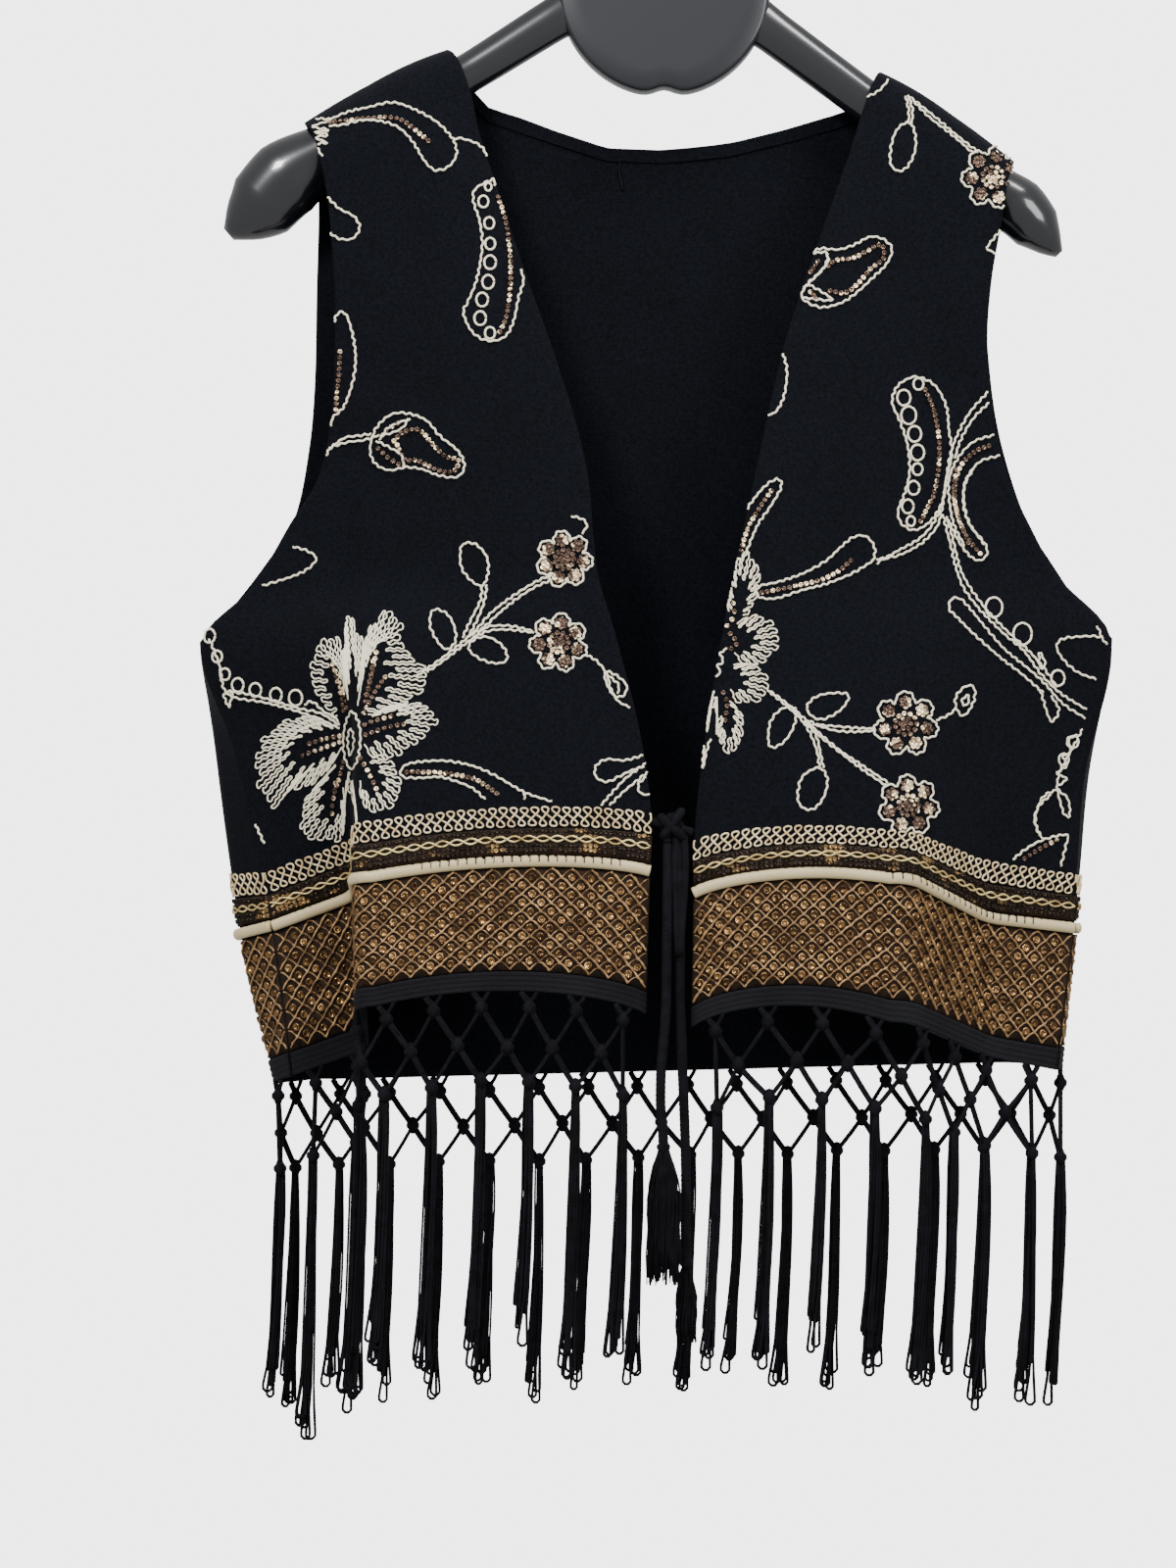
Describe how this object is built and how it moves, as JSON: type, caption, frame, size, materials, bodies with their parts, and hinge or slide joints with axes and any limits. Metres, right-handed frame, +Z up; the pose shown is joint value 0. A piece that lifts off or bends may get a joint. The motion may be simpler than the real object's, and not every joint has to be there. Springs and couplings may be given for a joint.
{
  "type": "embroidered vest on a hanger",
  "caption": "Sleeveless folk vest of black wool cloth with couched floral cord embroidery, sequin border and knotted tassel fringe, hanging open-sided on a black moulded hanger",
  "frame": {"origin": "inner top of the hanger's hook, where a rail carries it", "axes": "+Z up, the fronts face -Y, +X to the viewer's right"},
  "size_m": [0.4846, 0.1199, 0.8793],
  "materials": {
    "wool_cloth": "matt felted wool cloth, fine weave",
    "gold_braid": "looped pale gold gimp braid",
    "sequin_strip": "rows of bronze sequins with a twisted gold chain",
    "satin_piping": "cream satin over a cord",
    "bronze_net": "copper cord lattice with cup sequins on dark net",
    "fringe_yarn": "black rayon yarn, slightly lustrous",
    "hanger_plastic": "black moulded plastic, satin gloss",
    "hook_metal": "plain plated wire",
    "embroidery_cord": "ivory couched cord",
    "sequins": "smoky bronze cup sequins"
  },
  "bodies": {
    "root": {"hanger": "hanger_plastic", "hanger_hook": "hook_metal", "back": "wool_cloth", "front_left": "wool_cloth", "front_right": "wool_cloth", "back_neck_band": "wool_cloth", "tie_knot": "fringe_yarn", "tie_left": "fringe_yarn", "tie_right": "fringe_yarn", "tie_tassel_left": "fringe_yarn", "tie_tassel_right": "fringe_yarn", "bronze_left": "bronze_net", "piping_left": "satin_piping", "strip_left": "sequin_strip", "gimp_left": "gold_braid", "bronze_right": "bronze_net", "piping_right": "satin_piping", "strip_right": "sequin_strip", "gimp_right": "gold_braid", "bronze_back": "bronze_net", "piping_back": "satin_piping", "strip_back": "sequin_strip", "gimp_back": "gold_braid", "fringe_left": "fringe_yarn", "fringe_right": "fringe_yarn", "fringe_back": "fringe_yarn"}
  },
  "joints": []
}
